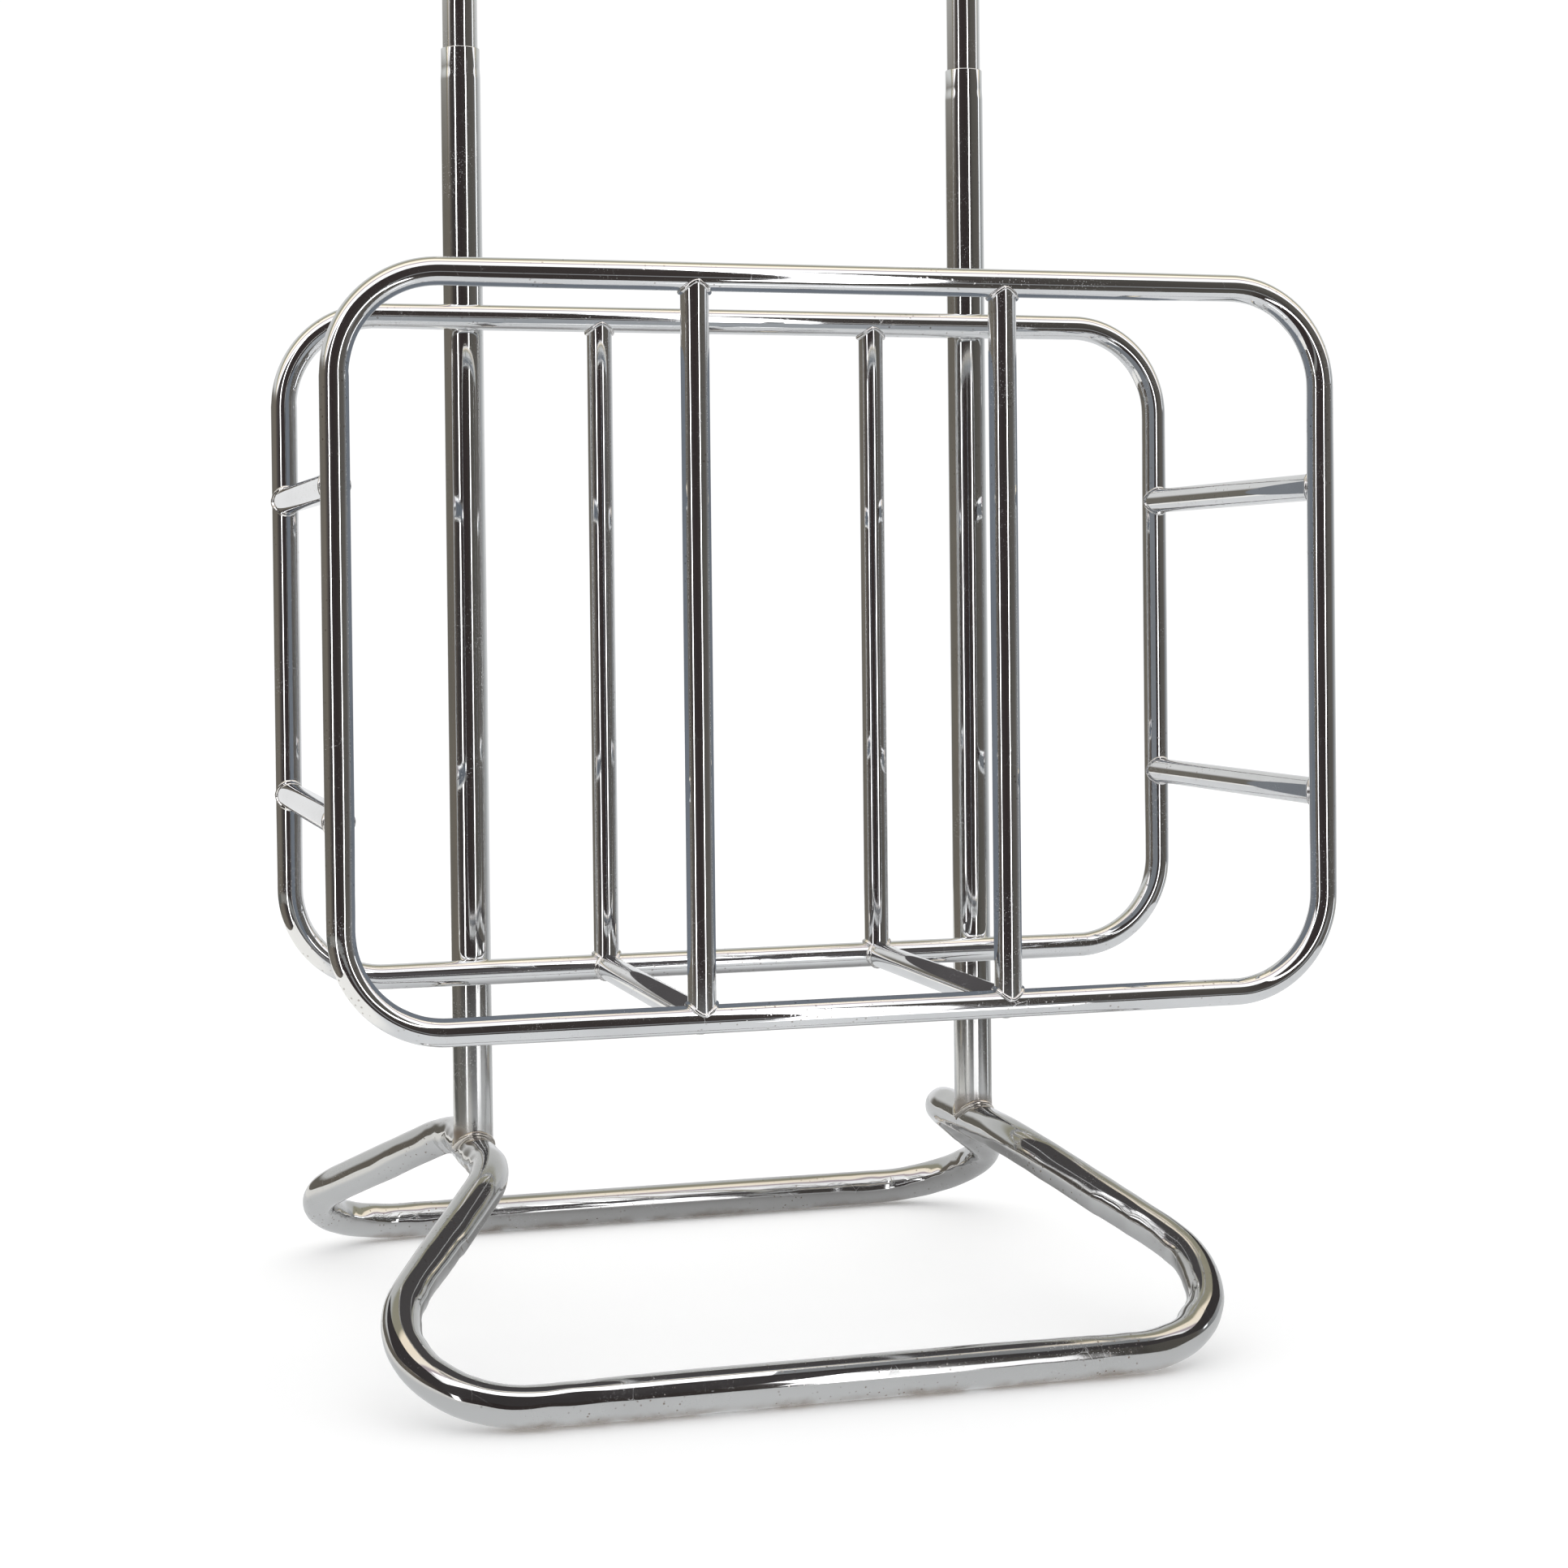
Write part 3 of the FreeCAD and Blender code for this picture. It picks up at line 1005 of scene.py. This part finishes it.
LINE_WHITE = (1.8, 1.85, 1.9)
PLAIN_WHITE = (1.04, 1.04, 1.04)
LINE_TURN = 100
LINE_WIDTH = 6
LOW_BAND = {"place": -10.8, "width": 5.4, "softness": 0.9}
OVER_CAGE = {"edge": 5.5, "softness": 1.0}
UNDER_CAGE = {"edge": -7.8, "softness": 0.6}
CEILING_FRONT = {"edge": 46.5, "softness": 2.5}
CEILING_RISE = {"edge": 12, "softness": 4}
print("colours round the walls", len(WALLS), "and", len(LOW_WALLS), "and over the ceiling", len(CEILING))

# %% The room
def room():
    world = bpy.data.worlds.new("studio_room")
    world.use_nodes = True
    bpy.context.scene.world = world
    bench = Bench(world.node_tree)
    way = bench.node("ShaderNodeTexCoord", output=0)
    degrees = 180 / math.pi

    def part_of(direction):
        return bench.node("ShaderNodeVectorMath", {"operation": "DOT_PRODUCT"}, {0: way, 1: direction}, 1)

    def angle(operation, *sockets):
        return bench.node("ShaderNodeMath", {"operation": operation}, dict(enumerate(sockets))) * degrees

    def ring_of_walls(stops):
        scaled = [((place + 180) / 360, tone) for place, tone in stops]
        return bench.node("ShaderNodeValToRGB", {"stops": scaled}, {0: (turn + 180) / 360})

    to_camera = part_of((-math.sin(YAW), -math.cos(YAW), 0))
    to_right = part_of((math.cos(YAW), -math.sin(YAW), 0))
    height = part_of((0, 0, 1))
    turn = angle("ARCTAN2", to_right, to_camera)
    rise = angle("ARCSINE", height)
    walls = ring_of_walls(WALLS)
    low_walls = ring_of_walls(LOW_WALLS)
    colour = bench.blend(rise.near(**LOW_BAND), walls, low_walls)
    away_from_cage = rise.above(**OVER_CAGE) + (1 - rise.above(**UNDER_CAGE))
    colour = bench.blend(turn.near(LINE_TURN, LINE_WIDTH, 1.0) * away_from_cage, colour, LINE_WHITE)

    to_front = part_of((0, -1, 0))
    over = angle("ARCTAN2", height, to_front)
    overhead = [(place / 180, tone) for place, tone in CEILING]
    ceiling = bench.node("ShaderNodeValToRGB", {"stops": overhead}, {0: over / 180})
    colour = bench.blend(over.above(**CEILING_FRONT) * rise.above(**CEILING_RISE), colour, ceiling)
    mirrored = bench.node("ShaderNodeLightPath", output="Is Glossy Ray")
    colour = bench.blend(mirrored, PLAIN_WHITE, colour)
    light = bench.node("ShaderNodeBackground", None, {"Color": colour, "Strength": 1.0})
    bench.node("ShaderNodeOutputWorld", None, {"Surface": light})


room()
bpy.context.scene.view_settings.view_transform = "Standard"
print("the white line stands at", LINE_TURN, "degrees and is", LINE_WIDTH, "degrees wide")

# %% [markdown]
# ## The floor
# The floor is plain and pale.  It glows a little, and the plain white world lights it evenly
# from all sides.  In the mirror of the tubes the floor is a sheet of paper that ends not far
# from the part, with the dim lower half of the room beyond it, so a second floor that only
# reflections can see lies just under the first.

# %% Sheets and plain finishes
MATT = 0.9


def studio_pieces():
    return sum(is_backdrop(o) for o in bpy.data.objects if o.type == "MESH")


def sheet_of(name, corners):
    """A flat four-cornered sheet that belongs to the studio, not to the part."""
    sheet = bmesh.new()
    sheet.faces.new([sheet.verts.new(corner) for corner in corners])
    mesh = bpy.data.meshes.new(name)
    sheet.to_mesh(mesh)
    sheet.free()
    piece = bpy.data.objects.new(name, mesh)
    bpy.context.scene.collection.objects.link(piece)
    piece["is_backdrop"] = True
    return piece


def lying_sheet(name, low, high, z):
    corners = [(low[0], low[1]), (high[0], low[1]), (high[0], high[1]), (low[0], high[1])]
    return sheet_of(name, [(x, y, z) for x, y in corners])


def only_mirrored(piece):
    """The piece shows in the chrome and nowhere else."""
    piece.visible_camera = False
    piece.visible_diffuse = False
    piece.visible_shadow = False


def plain_finish(name, colour, glow=0.0):
    material = bpy.data.materials.new(name)
    material.use_nodes = True
    bench = Bench(material.node_tree)
    sockets = {"Base Color": (*colour, 1), "Roughness": MATT}
    if glow:
        sockets.update({"Emission Color": (*colour, 1), "Emission Strength": glow})
    surface = bench.node("ShaderNodeBsdfPrincipled", None, sockets)
    bench.node("ShaderNodeOutputMaterial", None, {"Surface": surface})
    return material


print("studio pieces so far", studio_pieces())

# %% Two floors
FLOOR_HALF = 8
FLOOR_Z = -0.5 * MM
FLOOR_GLOW = 0.10
PAPER_Z = -1.0 * MM
PAPER_LOW = (-0.70, FRAME_Y["front"] - 0.53)
PAPER_HIGH = (0.85, 2.5)
PAPER_SHADY_X = -0.36
BAG_SHADE_X = {"place": 0.06, "width": 0.44, "softness": 0.12}
BAG_SHADE_Y = {"place": 0.11, "width": 0.36, "softness": 0.13}

floor = lying_sheet("floor_seen", (-FLOOR_HALF, -FLOOR_HALF), (FLOOR_HALF, FLOOR_HALF), FLOOR_Z)
floor.data.materials.append(plain_finish("pale_floor", (0.98, 0.98, 0.98), FLOOR_GLOW))
floor.visible_glossy = False


def paper_finish():
    """Pale paper, with the shade of a bag on it between the two floor rails."""
    material = bpy.data.materials.new("paper_floor")
    material.use_nodes = True
    bench = Bench(material.node_tree)
    place = bench.node("ShaderNodeTexCoord", output=3)
    x = bench.node("ShaderNodeSeparateXYZ", None, {0: place}, 0)
    y = bench.node("ShaderNodeSeparateXYZ", None, {0: place}, 1)
    shade = x.near(**BAG_SHADE_X) * y.near(**BAG_SHADE_Y)
    pale = bench.blend(x.above(PAPER_SHADY_X, 0.05), (0.86, 0.85, 0.82), (0.63, 0.64, 0.65))
    colour = bench.blend(shade, pale, (0.26, 0.26, 0.26))
    surface = bench.node("ShaderNodeBsdfPrincipled", None, {"Base Color": colour, "Roughness": MATT})
    bench.node("ShaderNodeOutputMaterial", None, {"Surface": surface})
    return material


paper = lying_sheet("floor_mirrored", PAPER_LOW, PAPER_HIGH, PAPER_Z)
paper.data.materials.append(paper_finish())
only_mirrored(paper)
print("the paper reaches", round(-PAPER_LOW[1], 2), "m to the front")

# %% [markdown]
# ## Cards
# Chrome is lit with cards.  A grey block hangs where a bag would stand, because an empty cage
# in front of a white room would lose the inner side of every tube.  Its top is painted light
# and its underside painted shade.  Flags, which are dark cards, lie over the front and both
# sides of the floor frame and darken what it mirrors.  A bright strip and a grey one lie at the
# same height along the front of the cage, and a low white card stands in front of the floor
# frame.  Every card is clear from its other side, so the rear of the cage looks out through the
# block.

# %% How a card is made
def card_finish(name, colour):
    """A finish of one brightness, whatever the light, which is clear from behind."""
    material = bpy.data.materials.new(name)
    material.use_nodes = True
    bench = Bench(material.node_tree)
    front = bench.node("ShaderNodeEmission", None, {"Color": (*colour, 1)})
    clear = bench.node("ShaderNodeBsdfTransparent")
    behind = bench.node("ShaderNodeNewGeometry", output="Backfacing")
    either = bench.node("ShaderNodeMixShader", None, {0: behind, 1: front, 2: clear})
    bench.node("ShaderNodeOutputMaterial", None, {"Surface": either})
    return material


def card(name, corners, facing, colour):
    """A card that faces one way and that only the chrome sees."""
    piece = sheet_of(name, corners)
    if piece.data.polygons[0].normal.dot(Vector(facing)) < 0:
        piece.data.flip_normals()
    piece.data.materials.append(card_finish(name, colour))
    only_mirrored(piece)


print("studio pieces so far", studio_pieces())

# %% A grey block in place of a bag
LEFT_GAP = 0.030
RIGHT_GAP = 0.075
FRONT_GAP = 0.038
REAR_GAP = 0.035
UNDER_GAP = 0.020
TOP_GAP = 0.035
block_low = Vector((cage_low.x + LEFT_GAP, FRAME_Y["front"] + FRONT_GAP, RAIL_Z["bottom"] + UNDER_GAP))
block_high = Vector((cage_high.x - RIGHT_GAP, FRAME_Y["rear"] - REAR_GAP, RAIL_Z["top"] - TOP_GAP))


def block_face(name, axis, end, colour):
    """One face of the block, across axis 0, 1 or 2, at its low (0) or high (1) end."""
    corners = []
    for first, second in ((0, 0), (1, 0), (1, 1), (0, 1)):
        ends = [first, second]
        ends.insert(axis, end)
        corners.append(Vector([(block_low, block_high)[ends[i]][i] for i in range(3)]))
    facing = Vector((0, 0, 0))
    facing[axis] = end * 2 - 1
    card(name, corners, facing, colour)


# Each face has one fixed brightness: the top is painted light, the underside painted shade, and the right
# face is a little lighter than the left.
block_face("block_front", 1, 0, (0.17, 0.19, 0.22))
block_face("block_left", 0, 0, (0.16, 0.18, 0.21))
block_face("block_right", 0, 1, (0.20, 0.215, 0.235))
block_face("block_under_painted_shade", 2, 0, (0.085, 0.080, 0.082))
block_face("block_top_painted_light", 2, 1, (0.34, 0.36, 0.38))

print("the block is", [round(v, 3) for v in block_high - block_low], "m")

# %% Flags, strips and the low card
DOWN = (0, 0, -1)
FLAG_Z = 0.160
FLAG_REACH = 0.90
FLAG_NEAR = 0.345
FLAG_SIDE_END = 0.03
FLAG_DEEP = FRAME_Y["front"] - 0.50
FLAG_SHALLOW = FRAME_Y["front"] - 0.14
FLAG_REAR = FRAME_Y["front"] - 0.057
FLAG_GREY = (0.052, 0.047, 0.048)
STRIP_REAR = FRAME_Y["front"] - 0.004
STRIPS = {
    "strip_left": (-0.32, -0.01, (2.2, 2.2, 2.25)),
    "strip_right": (-0.01, 0.26, (0.30, 0.31, 0.32)),
}
LOW_CARD_Y = FRAME_Y["front"] - 0.25
LOW_CARD = [(0.02, 0.030), (0.24, 0.030), (0.24, 0.135), (0.05, 0.135)]


def lying_card(name, outline, colour):
    """A card at the height of the flags that faces down."""
    card(name, [(x, y, FLAG_Z) for x, y in outline], DOWN, colour)


outline = [
    (-FLAG_REACH, FLAG_REAR),
    (-FLAG_REACH, FLAG_DEEP),
    (0.0, FLAG_DEEP),
    (0.06, FLAG_SHALLOW),
    (FLAG_REACH, FLAG_SHALLOW),
    (FLAG_REACH, FLAG_REAR),
]
lying_card("flag_front", outline, FLAG_GREY)
for hand, way in HANDS.items():
    near = way * FLAG_NEAR
    far = way * FLAG_REACH
    outline = [(near, FLAG_REAR), (far, FLAG_REAR), (far, FLAG_SIDE_END), (near, FLAG_SIDE_END)]
    lying_card("flag_" + hand, outline, FLAG_GREY)
for name, (near, far, colour) in STRIPS.items():
    outline = [(near, FLAG_REAR), (far, FLAG_REAR), (far, STRIP_REAR), (near, STRIP_REAR)]
    lying_card(name, outline, colour)
card("low_card", [Vector((x, LOW_CARD_Y, z)) for x, z in LOW_CARD], BACKWARD, (1.7, 1.7, 1.72))
print("flags and strips hang", FLAG_Z, "m over the floor")

# %% [markdown]
# Two narrow lamps stand at the front.  They are close enough to draw a different line on each
# tube, which a picture of a far-away room could not do.

# %% Narrow lamps
LAMP_GLOW = 2.4
lamp_finish = plain_finish("lamp_face", (1.0, 1.0, 1.02), LAMP_GLOW)


def narrow_lamp(name, x, y, width, low, high):
    """A standing strip of light that faces the part."""
    across = Vector((-y, x, 0)).normalized() * (width / 2)
    base = Vector((x, y, low))
    top = Vector((x, y, high))
    piece = sheet_of(name, [base - across, base + across, top + across, top - across])
    piece.data.materials.append(lamp_finish)
    only_mirrored(piece)


narrow_lamp("lamp_right", x=0.50, y=-1.83, width=0.17, low=-0.45, high=2.40)
narrow_lamp("lamp_left", x=-1.05, y=-0.95, width=0.12, low=-0.40, high=2.00)
print("studio pieces", studio_pieces())

# %% [markdown]
# ## Size of the finished model
# The looks must not make the part any bigger, so the box of the plain model and the box of the
# finished one are written side by side.

# %% Sizes to compare
seen_low, seen_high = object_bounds()
growth = zip(cad_high - cad_low, seen_high - seen_low)
print("box grew by", [round((seen - cad) / MM, 2) for cad, seen in growth], "mm")
